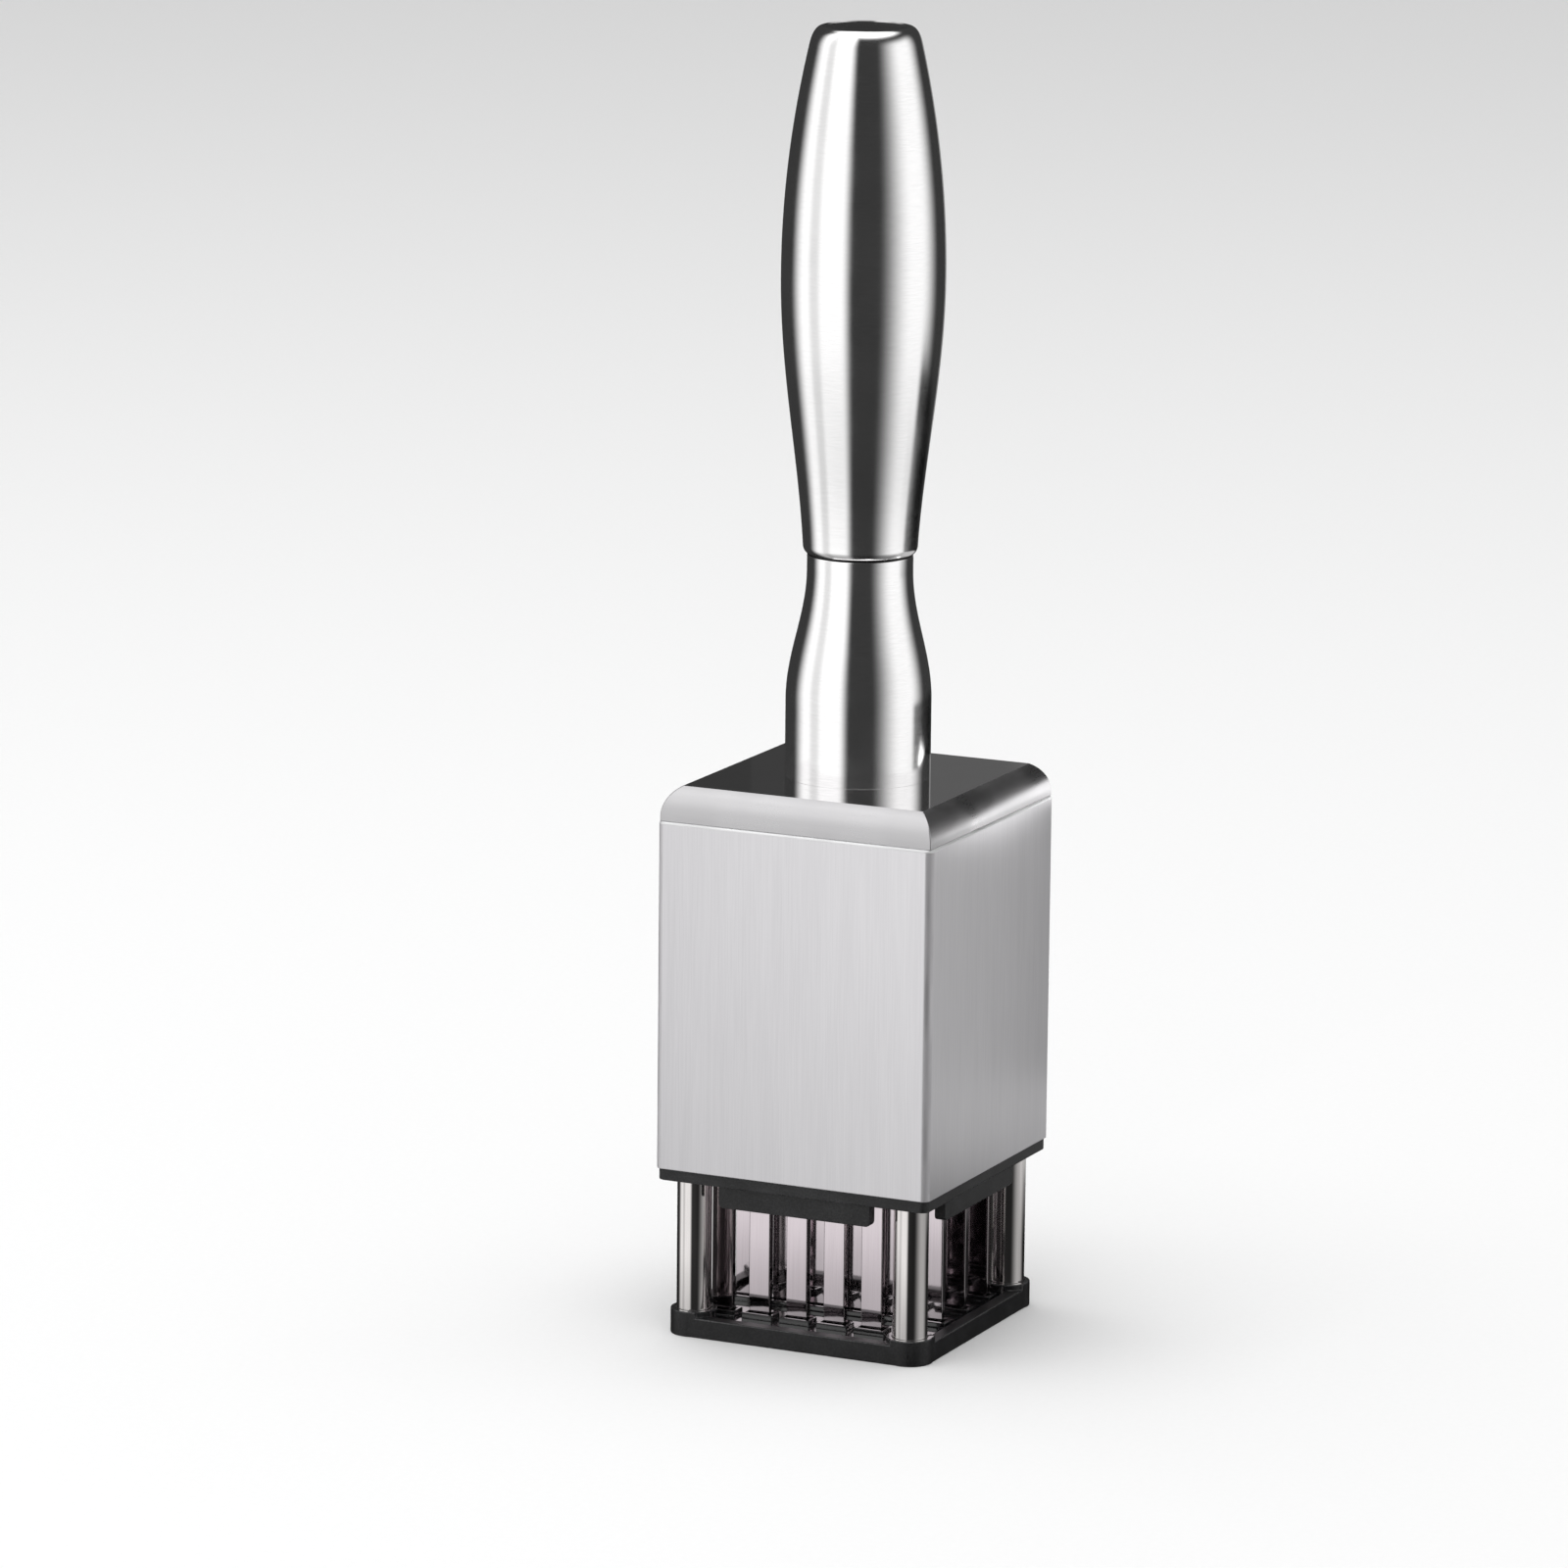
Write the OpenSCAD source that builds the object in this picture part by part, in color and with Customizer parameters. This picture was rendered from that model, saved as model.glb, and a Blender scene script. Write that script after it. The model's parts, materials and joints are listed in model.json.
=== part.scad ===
// Hand-press meat tenderizer: a square steel head on a bottle-shaped steel handle.
// Flat blades hang in the head and slide through a sprung foot plate on four corner posts.
// Millimetres, +Z up, origin in the middle of the foot's underside, front face towards -Y.

/* [Blades] */
// Blades in one row, side by side along X
blade_cols = 6; // [2:1:6]
// Rows of blades, one behind the other along Y
blade_rows = 4; // [2:1:4]
// Material between a row's end slots and the frame's screw columns
end_slot_wall = 0.5; // [0.1:0.1:2.0]
// Clear distance from the outer rows of blades to the posts
row_post_gap = 2.4; // [0.8:0.1:4.0]
// Width of a blade's flat face
blade_w = 3.9; // [2.8:0.1:4.0]
// Thickness of a blade
blade_t = 1.4; // [1.0:0.1:2.2]
// Height of the slanted cut at a blade's tip
blade_point_h = 3.0; // [2.4:0.1:5.0]
// Width of the flat edge left on a blade's ground tip
blade_edge_t = 0.3; // [0.2:0.05:0.6]
// Height of the tips above the foot's underside at rest
tip_recess = 0.4; // [0.2:0.1:1.6]

/* [Foot plate] */
// Height of the corner bosses that hold the posts
boss_h = 4.4; // [4.2:0.1:6.5]
// Height of the rim between the corner bosses
rim_h = 3.4; // [3.2:0.1:4.1]
// Thickness of the tray floor
floor_h = 2.2; // [2.0:0.1:2.3]
// Width of the rim's top
rim_w = 2.4; // [1.8:0.1:2.6]
// Length of a corner boss along the rim
boss_l = 5.9; // [4.5:0.1:7.5]
// Radius of the foot's outer corners
foot_corner_r = 3.5; // [2.5:0.1:4.0]
// Material between a post and the foot's side
foot_edge_wall = 0.85; // [0.8:0.05:1.4]
// Height of the raised collars around the blade slots
slot_collar_h = 0.9; // [0.4:0.1:1.1]
// Wall of the raised collars around the blade slots
slot_collar_wall = 0.7; // [0.5:0.05:0.9]

/* [Posts and springs] */
// Outer diameter of a post
post_d = 6.0; // [5.4:0.1:6.4]
// Diameter of the guide rod inside a post
rod_d = 3.8; // [3.2:0.1:4.0]
// Height of a post's stop collar
collar_h = 2.0; // [1.5:0.1:3.0]
// Width of a stop collar outside its post
collar_w = 0.6; // [0.5:0.05:0.9]
// Wire diameter of a spring
spring_wire = 0.5; // [0.4:0.05:0.7]
// Curls of a spring
spring_curls = 12; // [9:1:13]
// Clear height between the guide plate and the blade holder
spring_room = 35.1; // [33:0.1:42]

/* [Cartridge] */
// Open height between the corner bosses and the flange
window_h = 23.0; // [18:0.5:24]
// Thickness of the flange that shows under the casing
flange_t = 2.0; // [1.4:0.1:3.0]
// Thickness of the guide plate's plug inside the casing
plug_t = 2.0; // [1.4:0.1:3.5]
// Clear distance from a tab's end to the post beside it
tab_post_gap = 3.1; // [1.0:0.1:8.0]
// Thickness of a tab
tab_t = 2.0; // [1.4:0.1:2.1]
// Height by which a tab hangs below the flange
tab_drop = 4.0; // [2.5:0.1:6.0]
// Radius of a tab's lower corners
tab_corner_r = 0.9; // [0.4:0.1:1.4]
// Thickness of the cartridge's side walls
side_wall_t = 1.8; // [1.4:0.1:2.2]
// Thickness of the blade holder
holder_t = 4.0; // [3.4:0.1:6.0]
// Thickness of the clamp plate
clamp_t = 3.0; // [2.4:0.1:4.0]

/* [Casing and cap] */
// Width of the square casing
casing_w = 51.0; // [50.6:0.2:58]
// Height of the casing
casing_h = 60.5; // [58:0.5:75]
// Sheet thickness of the casing
casing_wall = 0.8; // [0.6:0.05:1.0]
// Outer radius of the casing's upright edges
casing_edge_r = 1.4; // [1.1:0.1:2.5]
// Height of the cap above the casing
cap_h = 5.8; // [5.4:0.1:8.0]
// Radius of the cap's rounded shoulders
shoulder_r = 5.0; // [3.5:0.1:5.2]
// Step from the casing's side in to the cap's side
cap_step = 0.4; // [0.2:0.05:0.7]

/* [Handle] */
// Height of the neck, from the cap to the crease
neck_h = 38.4; // [36.5:0.1:50]
// Radius of the neck's straight foot
neck_base_r = 12.4; // [11.5:0.1:13.0]
// Radius of the neck's waist
waist_r = 9.0; // [8.6:0.1:9.4]
// Height of the grip, from the crease to its top
grip_h = 89.3; // [80:0.1:110]
// Largest radius of the grip
grip_r = 13.9; // [12.5:0.1:15.5]
// Radius of the grip just above its rolled lower edge
grip_low_r = 9.75; // [9.6:0.05:10.5]
// Radius of the grip just below its top edge
grip_top_r = 9.45; // [8.8:0.05:10.5]
// Radius of the flat end disc
end_r = 7.4; // [6.0:0.1:8.2]
// Sheet thickness of the neck and the grip
handle_wall = 0.8; // [0.6:0.05:1.0]
// Diameter of the stud that joins the handle to the cartridge
stud_d = 6.0; // [5.0:0.1:6.4]

/* [Hidden] */
$fn = 48;
corners = [["front_left", -1, -1], ["front_right", 1, -1], ["back_right", 1, 1], ["back_left", -1, 1]];
blade_names = [for (row = [1:blade_rows]) for (col = [1:blade_cols]) str("blade_", row, "_", col)];
over = 1.0;

// Clearances
running_fit = 0.05;
blade_fit = 0.25;
seat_fit = 0.05;
stop_gap = 0.05;
press_gap = 0.2;
casing_fit = 0.2;
holder_fit = 0.4;
collar_fit = 0.8;
rod_tip_gap = 0.6;

// Levels, from the foot's underside up
flange_z = boss_h + window_h;
casing_z = flange_z + flange_t;
deck_z = casing_z + plug_t;
holder_z = deck_z + spring_room;
clamp_z = holder_z + holder_t;
seam_z = casing_z + casing_h;
cap_top_z = seam_z + cap_h;
crease_z = cap_top_z + neck_h;
tab_z = flange_z - tab_drop;
stroke = tab_z - rim_h - press_gap;

// Places across the head
casing_in = casing_w / 2 - casing_wall;
collar_r = post_d / 2 + collar_w;
post_c = casing_in - collar_fit - collar_r;
foot_half = post_c + post_d / 2 + foot_edge_wall;
plug_half = casing_in - casing_fit;
holder_half = casing_in - holder_fit;

// Posts, their screws and the rods inside them
post_seat_z = 2.2;
screw_grip = 4.5;
screw_tip_z = post_seat_z + screw_grip;
post_end = 0.8;
post_top_z = deck_z + stop_gap + collar_h + post_end;
rod_bottom_z = screw_tip_z + stroke + rod_tip_gap;
post_bore_d = rod_d + 2 * running_fit;
socket_wall = 1.0;
screw_head_r = 3.1;
screw_head_h = 1.5;
screw_head_recess = 0.3;
driver_r = 1.1;
driver_depth = 0.8;
hex_sides = 6;

// Springs
spring_rod_gap = 0.4;
spring_mean_r = rod_d / 2 + spring_rod_gap + spring_wire / 2;
closed_curl_gap = 0.5;
spring_end_pitch = spring_wire + closed_curl_gap;
rings_per_curl = 8;
wire_sides = 6;

// Screw columns in the middle of the cartridge's sides, and the tabs between the posts
column_r = 2.1;
column_c = plug_half - column_r;
tab_w = 2 * (post_c - post_d / 2 - tab_post_gap);

// Blades spread evenly between the columns and between the posts
col_reach = column_c - column_r - blade_fit - end_slot_wall;
col_pitch = 2 * (col_reach - blade_w / 2) / (blade_cols - 1);
row_reach = post_c - post_d / 2 - row_post_gap;
row_pitch = 2 * (row_reach - blade_t / 2) / (blade_rows - 1);
head_spread_share = 0.24;
head_extra = (col_pitch - blade_w) * head_spread_share;
head_h = 2.0;

// Flange, tabs and the screws in the columns
flange_inset = 0.3;
tab_inset = 1.7;
clamp_screw_d = 2.4;
clamp_screw_l = 12.0;
clamp_head_r = 1.9;
clamp_head_h = 1.4;
column_bore_spare = 1.5;
column_bore_h = clamp_screw_l + column_bore_spare - holder_t - clamp_t;

// Lock nut in the clamp plate's hub
nut_across = 10.0;
nut_h = 5.0;
hub_r = 9.0;
hub_roof_t = 4.0;
hub_top_z = clamp_z + nut_h + hub_roof_t;

// Cap
cap_plate_t = 1.0;
skirt_h = 3.0;
cap_half = casing_w / 2 - cap_step;
skirt_half = casing_in - seat_fit;

// Neck and grip outline
plug_h = 8.0;
neck_foot_h = 13.1;
flare_share = 0.925;
spigot_h = 6.0;
lip_h = 3.1;
belly_share = 0.531;
swell_reach_share = 1.196;
edge_h = 2.8;
end_disc_t = 1.2;
end_disc_sink = 0.1;
outline_steps = 18;
edge_steps = 6;

// A smooth step from 0 to 1
function ease(u) = (1 - cos(180 * u)) / 2;

// A square outline with round corners, centred
module round_square(half, r) {
    square([2 * half, 2 * (half - r)], center = true);
    square([2 * (half - r), 2 * half], center = true);
    for (x = [-1, 1], y = [-1, 1])
        translate([x * (half - r), y * (half - r)])
            circle(r = r);
}

// Runs its children once for each corner of the post square
module at_posts() {
    for (c = corners)
        translate([c[1] * post_c, c[2] * post_c, 0])
            children();
}

// Runs its children once for each side of the head, drawn for the front side
module at_sides() {
    for (turn = [0:90:270])
        rotate([0, 0, turn])
            children();
}

function blade_x(col) = (col - (blade_cols + 1) / 2) * col_pitch;
function blade_y(row) = (row - (blade_rows + 1) / 2) * row_pitch;

// Upright slots for all blades, each grown by gap
module blade_slots(bottom, top, gap, extra = 0) {
    for (row = [1:blade_rows], col = [1:blade_cols])
        translate([blade_x(col), blade_y(row), (bottom + top) / 2])
            cube([blade_w + extra + 2 * gap, blade_t + 2 * gap, top - bottom], center = true);
}

module foot_plate() {
    slot_grow = blade_fit + slot_collar_wall;
    color([0.13, 0.13, 0.14])
    difference() {
        union() {
            difference() {
                linear_extrude(rim_h)
                    round_square(foot_half, foot_corner_r);
                translate([0, 0, floor_h])
                    linear_extrude(rim_h)
                        round_square(foot_half - rim_w, foot_corner_r / 2);
            }
            intersection() {
                linear_extrude(boss_h)
                    round_square(foot_half, foot_corner_r);
                for (c = corners)
                    translate([c[1] * (foot_half - boss_l / 2), c[2] * (foot_half - boss_l / 2), boss_h / 2])
                        cube([boss_l, boss_l, boss_h], center = true);
            }
            at_posts()
                cylinder(r = post_d / 2 + socket_wall, h = boss_h);
            blade_slots(floor_h / 2, floor_h + slot_collar_h, slot_grow);
        }
        blade_slots(-over, rim_h + over, blade_fit);
        at_posts() {
            translate([0, 0, post_seat_z])
                cylinder(d = post_d, h = boss_h);
            translate([0, 0, -over])
                cylinder(d = post_bore_d, h = post_seat_z + 2 * over);
            translate([0, 0, -over])
                cylinder(r = screw_head_r, h = over + screw_head_recess);
            translate([0, 0, screw_head_recess])
                cylinder(r1 = screw_head_r, r2 = post_bore_d / 2, h = screw_head_h);
        }
    }
}

// Countersunk screws that come up through the foot into the posts
module post_screws() {
    color("silver")
    at_posts()
        difference() {
            union() {
                translate([0, 0, screw_head_recess])
                    cylinder(r1 = screw_head_r, r2 = post_bore_d / 2, h = screw_head_h);
                translate([0, 0, screw_head_recess + screw_head_h])
                    cylinder(d = post_bore_d, h = screw_tip_z - screw_head_recess - screw_head_h);
            }
            translate([0, 0, screw_head_recess - over])
                cylinder(r = driver_r, h = over + driver_depth, $fn = hex_sides);
        }
}

module post(c) {
    color("silver")
    translate([c[1] * post_c, c[2] * post_c, post_seat_z])
        difference() {
            cylinder(d = post_d, h = post_top_z - post_seat_z);
            translate([0, 0, -over])
                cylinder(d = post_bore_d, h = post_top_z + over);
        }
}

// Ring pressed on the top of a post, which rests on the guide plate
module stop_collar(c) {
    color("darkgray")
    translate([c[1] * post_c, c[2] * post_c, deck_z + stop_gap])
        difference() {
            cylinder(r = collar_r, h = collar_h);
            translate([0, 0, -over])
                cylinder(d = post_d, h = collar_h + 2 * over);
        }
}

// Height of a spring's centre line after a number of turns, with a closed curl at each end
spring_len = holder_z - post_top_z - 2 * stop_gap;
spring_rise = spring_len - spring_wire;
open_pitch = (spring_rise - 2 * spring_end_pitch) / (spring_curls - 2);
function spring_z(turns) =
    spring_end_pitch * min(turns, 1)
    + open_pitch * min(max(turns - 1, 0), spring_curls - 2)
    + spring_end_pitch * max(turns - spring_curls + 1, 0);
function spring_point(i) =
    let (turns = i / rings_per_curl)
    [spring_mean_r * cos(360 * turns), spring_mean_r * sin(360 * turns), spring_z(turns)];
spring_rings = spring_curls * rings_per_curl + 1;
spring_line = [for (i = [0:spring_rings - 1]) spring_point(i)];
spring_gap = -spring_wire + min([
    for (i = [0:spring_rings - 1])
        for (j = [i + rings_per_curl / 2:spring_rings - 1])
            norm(spring_line[i] - spring_line[j])
]);
echo(spring_gap = spring_gap);

function unit(v) = v / norm(v);
function ring_points(i) =
    let (
        before = spring_point(i - 0.5),
        after = spring_point(i + 0.5),
        along = unit(after - before),
        turn = 360 * i / rings_per_curl,
        out = [cos(turn), sin(turn), 0],
        side = unit(cross(along, out))
    )
    [for (k = [0:wire_sides - 1])
        let (around = 360 * k / wire_sides)
        spring_line[i] + spring_wire / 2 * (cos(around) * out + sin(around) * side)];

module spring(c) {
    last = spring_rings - 1;
    points = [for (i = [0:last]) each ring_points(i)];
    sides = [for (i = [0:last - 1]) for (k = [0:wire_sides - 1])
        let (
            a = i * wire_sides + k,
            b = i * wire_sides + (k + 1) % wire_sides
        )
        each [[a, a + wire_sides, b], [b, a + wire_sides, b + wire_sides]]];
    first_cap = [for (k = [1:wire_sides - 2]) [0, k, k + 1]];
    last_cap = [for (k = [1:wire_sides - 2])
        [last * wire_sides, last * wire_sides + k + 1, last * wire_sides + k]];
    color("gainsboro")
    translate([c[1] * post_c, c[2] * post_c, post_top_z + stop_gap + spring_wire / 2])
        polyhedron(points = points, faces = concat(sides, first_cap, last_cap), convexity = 10);
}

module guide_rod(c) {
    color("silver")
    translate([c[1] * post_c, c[2] * post_c, rod_bottom_z])
        cylinder(d = rod_d, h = clamp_z - rod_bottom_z);
}

// A tab with round lower corners, hanging at the front side
module tab() {
    tab_face = casing_w / 2 - tab_inset;
    translate([0, -tab_face, 0])
        rotate([-90, 0, 0])
            linear_extrude(tab_t)
                translate([0, -flange_z])
                    difference() {
                        translate([-tab_w / 2, -flange_t / 2])
                            square([tab_w, tab_drop + flange_t / 2]);
                        for (x = [-1, 1])
                            translate([x * (tab_w / 2 - tab_corner_r), tab_drop - tab_corner_r])
                                difference() {
                                    translate([x * (tab_corner_r + over) / 2, (tab_corner_r + over) / 2])
                                        square(tab_corner_r + over, center = true);
                                    circle(r = tab_corner_r);
                                }
                    }
}

// Black moulding: flange, guide plate, four side walls and four finger tabs
module cartridge_frame() {
    color([0.15, 0.15, 0.16])
    difference() {
        union() {
            translate([0, 0, flange_z])
                linear_extrude(flange_t)
                    round_square(casing_w / 2 - flange_inset, casing_edge_r);
            translate([0, 0, casing_z])
                linear_extrude(plug_t)
                    round_square(plug_half, casing_edge_r);
            at_sides() {
                tab();
                translate([-tab_w / 2, -plug_half, deck_z - plug_t / 2])
                    cube([tab_w, side_wall_t, spring_room + plug_t / 2]);
                translate([0, -column_c, deck_z - plug_t / 2])
                    cylinder(r = column_r, h = spring_room + plug_t / 2);
            }
        }
        blade_slots(flange_z - over, deck_z + over, blade_fit);
        at_posts()
            translate([0, 0, flange_z - over])
                cylinder(d = post_d + 2 * running_fit, h = flange_t + plug_t + 2 * over);
        at_sides()
            translate([0, -column_c, holder_z - column_bore_h])
                cylinder(d = clamp_screw_d, h = column_bore_h + over);
    }
}

module blade_holder() {
    color([0.2, 0.2, 0.21])
    difference() {
        translate([0, 0, holder_z])
            linear_extrude(holder_t)
                round_square(holder_half, casing_edge_r);
        blade_slots(holder_z - over, clamp_z + over, seat_fit);
        blade_slots(clamp_z - head_h, clamp_z + over, seat_fit, 2 * head_extra);
        at_posts()
            translate([0, 0, holder_z - over])
                cylinder(d = rod_d, h = holder_t + 2 * over);
        at_sides()
            translate([0, -column_c, holder_z - over])
                cylinder(d = clamp_screw_d, h = holder_t + 2 * over);
    }
}

module clamp_plate() {
    color([0.2, 0.2, 0.21])
    difference() {
        union() {
            translate([0, 0, clamp_z])
                linear_extrude(clamp_t)
                    round_square(holder_half, casing_edge_r);
            translate([0, 0, clamp_z])
                cylinder(r = hub_r, h = hub_top_z - clamp_z);
        }
        translate([0, 0, clamp_z - over])
            cylinder(d = nut_across / cos(180 / hex_sides), h = nut_h + over, $fn = hex_sides);
        translate([0, 0, clamp_z])
            cylinder(d = stud_d + 2 * seat_fit, h = hub_top_z - clamp_z + over);
        at_sides()
            translate([0, -column_c, clamp_z - over])
                cylinder(d = clamp_screw_d, h = clamp_t + 2 * over);
    }
}

// Pan-head screws through the clamp plate and the holder into the frame's columns
module clamp_screws() {
    color("silver")
    at_sides()
        translate([0, -column_c, clamp_z + clamp_t])
            difference() {
                union() {
                    cylinder(r = clamp_head_r, h = clamp_head_h);
                    translate([0, 0, -clamp_screw_l])
                        cylinder(d = clamp_screw_d, h = clamp_screw_l);
                }
                translate([0, 0, clamp_head_h - driver_depth])
                    cylinder(r = driver_r, h = driver_depth + over, $fn = hex_sides);
            }
}

module lock_nut() {
    color("silver")
    translate([0, 0, clamp_z])
        difference() {
            cylinder(d = nut_across / cos(180 / hex_sides), h = nut_h, $fn = hex_sides);
            translate([0, 0, -over])
                cylinder(d = stud_d, h = nut_h + 2 * over);
        }
}

module handle_stud() {
    color("silver")
    translate([0, 0, clamp_z + seat_fit])
        cylinder(d = stud_d, h = cap_top_z + plug_h - clamp_z - seat_fit);
}

module casing() {
    color([0.78, 0.78, 0.8])
    translate([0, 0, casing_z])
        linear_extrude(casing_h)
            difference() {
                round_square(casing_w / 2, casing_edge_r);
                round_square(casing_in, casing_edge_r - casing_wall);
            }
}

// A bar along Y whose two upper edges are round, standing on z = 0
module shoulder_bar(half, h, r) {
    rotate([90, 0, 0])
        linear_extrude(2 * half, center = true)
            intersection() {
                translate([-half, 0])
                    square([2 * half, h]);
                union() {
                    translate([-half, 0])
                        square([2 * half, h - r]);
                    translate([r - half, 0])
                        square([2 * (half - r), h]);
                    for (x = [-1, 1])
                        translate([x * (half - r), h - r])
                            circle(r = r);
                }
            }
}

// A square block whose four round shoulders meet in mitred creases
module shoulder_block(half, h, r) {
    intersection() {
        shoulder_bar(half, h, r);
        rotate([0, 0, 90])
            shoulder_bar(half, h, r);
    }
}

module top_cap() {
    color([0.82, 0.82, 0.84])
    difference() {
        union() {
            intersection() {
                translate([0, 0, seam_z])
                    shoulder_block(cap_half, cap_h, shoulder_r);
                translate([0, 0, seam_z])
                    linear_extrude(cap_h + over)
                        round_square(cap_half, casing_edge_r - cap_step);
            }
            translate([0, 0, seam_z - skirt_h])
                linear_extrude(skirt_h + cap_plate_t)
                    round_square(skirt_half, casing_edge_r - casing_wall);
        }
        translate([0, 0, seam_z - skirt_h - over])
            linear_extrude(skirt_h + over)
                round_square(skirt_half - casing_wall, casing_edge_r - casing_wall);
        translate([0, 0, seam_z - cap_plate_t])
            shoulder_block(skirt_half - casing_wall, cap_h, shoulder_r);
        translate([0, 0, seam_z])
            cylinder(d = stud_d + 2 * seat_fit, h = cap_h + over);
    }
}

// Outline of the neck above the cap, as radius and height, thinned by inset
flare_h = neck_h * flare_share - neck_foot_h;
function neck_outline(inset) = concat(
    [[neck_base_r - inset, 0]],
    [for (i = [0:outline_steps])
        [neck_base_r - inset - (neck_base_r - waist_r) * ease(i / outline_steps),
         neck_foot_h + flare_h * i / outline_steps]]
);

module handle_neck() {
    spigot_r = waist_r - handle_wall - seat_fit;
    shelf_z = neck_h - handle_wall;
    color([0.85, 0.85, 0.87])
    translate([0, 0, cap_top_z])
        difference() {
            rotate_extrude()
                polygon(concat(
                    [[0, 0]],
                    neck_outline(0),
                    [[waist_r, neck_h], [spigot_r, neck_h],
                     [spigot_r, neck_h + spigot_h], [0, neck_h + spigot_h]]
                ));
            rotate_extrude()
                polygon(concat(
                    [[0, -over], [neck_base_r - handle_wall, -over]],
                    neck_outline(handle_wall),
                    [[waist_r - handle_wall, shelf_z], [spigot_r - handle_wall, shelf_z],
                     [spigot_r - handle_wall, neck_h + spigot_h + over], [0, neck_h + spigot_h + over]]
                ));
        }
}

// Steel plug welded in the neck's foot, tapped for the stud
module neck_plug() {
    color("silver")
    translate([0, 0, cap_top_z])
        difference() {
            cylinder(r = neck_base_r - handle_wall, h = plug_h);
            translate([0, 0, -over])
                cylinder(d = stud_d, h = plug_h + 2 * over);
        }
}

// Outline of the grip above the crease, as radius and height, thinned by inset
belly_h = grip_h * belly_share;
swell_h = (belly_h - lip_h) * swell_reach_share;
swell_drop = (grip_r - grip_low_r) / ease(1 / swell_reach_share);
top_flank_h = grip_h - edge_h - belly_h;
lip_r = waist_r + seat_fit;
function grip_outline(inset) = concat(
    [for (i = [0:edge_steps])
        let (drawn_in = (grip_low_r - lip_r) * sin(90 * (1 - i / edge_steps)) ^ 2)
        [grip_low_r - inset - drawn_in, lip_h * i / edge_steps]],
    [for (i = [1:outline_steps])
        let (h = lip_h + (belly_h - lip_h) * i / outline_steps)
        [grip_r - inset - swell_drop * ease((belly_h - h) / swell_h), h]],
    [for (i = [1:outline_steps])
        [grip_r - inset - (grip_r - grip_top_r) * (i / outline_steps) ^ 2,
         belly_h + top_flank_h * i / outline_steps]]
);

module handle_grip() {
    rim_z = grip_h - edge_h;
    color([0.85, 0.85, 0.87])
    translate([0, 0, crease_z])
        difference() {
            rotate_extrude()
                polygon(concat(
                    [[0, 0]],
                    grip_outline(0),
                    [for (i = [1:edge_steps])
                        [end_r + (grip_top_r - end_r) * cos(90 * i / edge_steps),
                         rim_z + edge_h * sin(90 * i / edge_steps)]],
                    [[0, grip_h]]
                ));
            rotate_extrude()
                polygon(concat(
                    [[0, -over], [lip_r - handle_wall, -over]],
                    grip_outline(handle_wall),
                    [[end_r, rim_z + edge_h / 2], [end_r, grip_h + over], [0, grip_h + over]]
                ));
        }
}

module end_disc() {
    color([0.7, 0.7, 0.72])
    translate([0, 0, crease_z + grip_h - end_disc_sink - end_disc_t])
        cylinder(r = end_r, h = end_disc_t);
}

// A flat blade with a T-shaped head and a slanted, ground tip
module blade(row, col) {
    top = clamp_z;
    grind_h = 2 * blade_point_h;
    grind_out = (blade_t - blade_edge_t) / 2;
    color("gainsboro")
    translate([blade_x(col), blade_y(row), 0])
        difference() {
            rotate([90, 0, 0])
                linear_extrude(blade_t, center = true)
                    polygon([
                        [-blade_w / 2, tip_recess],
                        [blade_w / 2, tip_recess + blade_point_h],
                        [blade_w / 2, top - head_h],
                        [blade_w / 2 + head_extra, top - head_h],
                        [blade_w / 2 + head_extra, top],
                        [-blade_w / 2 - head_extra, top],
                        [-blade_w / 2 - head_extra, top - head_h],
                        [-blade_w / 2, top - head_h]
                    ]);
            for (side = [-1, 1])
                rotate([90, 0, 90])
                    linear_extrude(2 * blade_w, center = true)
                        polygon([
                            [side * (blade_t / 2 - grind_out), tip_recess],
                            [side * blade_t / 2, tip_recess + grind_h],
                            [side * (blade_t / 2 + over), tip_recess + grind_h],
                            [side * (blade_t / 2 + over), tip_recess - over],
                            [side * (blade_t / 2 - grind_out), tip_recess - over]
                        ]);
        }
}

foot_plate();
post_screws();
for (c = corners) {
    post(c);
    stop_collar(c);
    spring(c);
    guide_rod(c);
}
cartridge_frame();
blade_holder();
clamp_plate();
clamp_screws();
lock_nut();
handle_stud();
casing();
top_cap();
handle_neck();
neck_plug();
handle_grip();
end_disc();
for (row = [1:blade_rows], col = [1:blade_cols])
    blade(row, col);
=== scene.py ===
import json
import math
import bmesh
import bpy
from mathutils import Matrix, Vector


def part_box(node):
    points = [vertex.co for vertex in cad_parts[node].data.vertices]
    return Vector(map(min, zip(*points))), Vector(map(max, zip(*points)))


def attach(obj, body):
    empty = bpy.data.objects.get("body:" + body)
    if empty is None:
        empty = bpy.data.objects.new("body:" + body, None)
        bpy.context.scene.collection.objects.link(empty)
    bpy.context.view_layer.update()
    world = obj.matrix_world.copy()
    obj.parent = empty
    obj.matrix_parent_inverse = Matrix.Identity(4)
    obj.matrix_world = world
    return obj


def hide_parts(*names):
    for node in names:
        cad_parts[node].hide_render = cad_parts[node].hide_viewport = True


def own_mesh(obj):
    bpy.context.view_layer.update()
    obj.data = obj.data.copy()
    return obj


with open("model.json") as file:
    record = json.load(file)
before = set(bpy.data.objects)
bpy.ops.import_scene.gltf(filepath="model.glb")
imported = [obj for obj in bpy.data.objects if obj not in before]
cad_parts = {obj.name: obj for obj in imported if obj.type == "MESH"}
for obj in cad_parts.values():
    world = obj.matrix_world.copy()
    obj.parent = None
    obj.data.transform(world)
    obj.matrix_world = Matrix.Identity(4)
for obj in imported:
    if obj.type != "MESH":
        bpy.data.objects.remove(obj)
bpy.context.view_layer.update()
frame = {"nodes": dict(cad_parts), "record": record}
MM = 0.001

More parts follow.
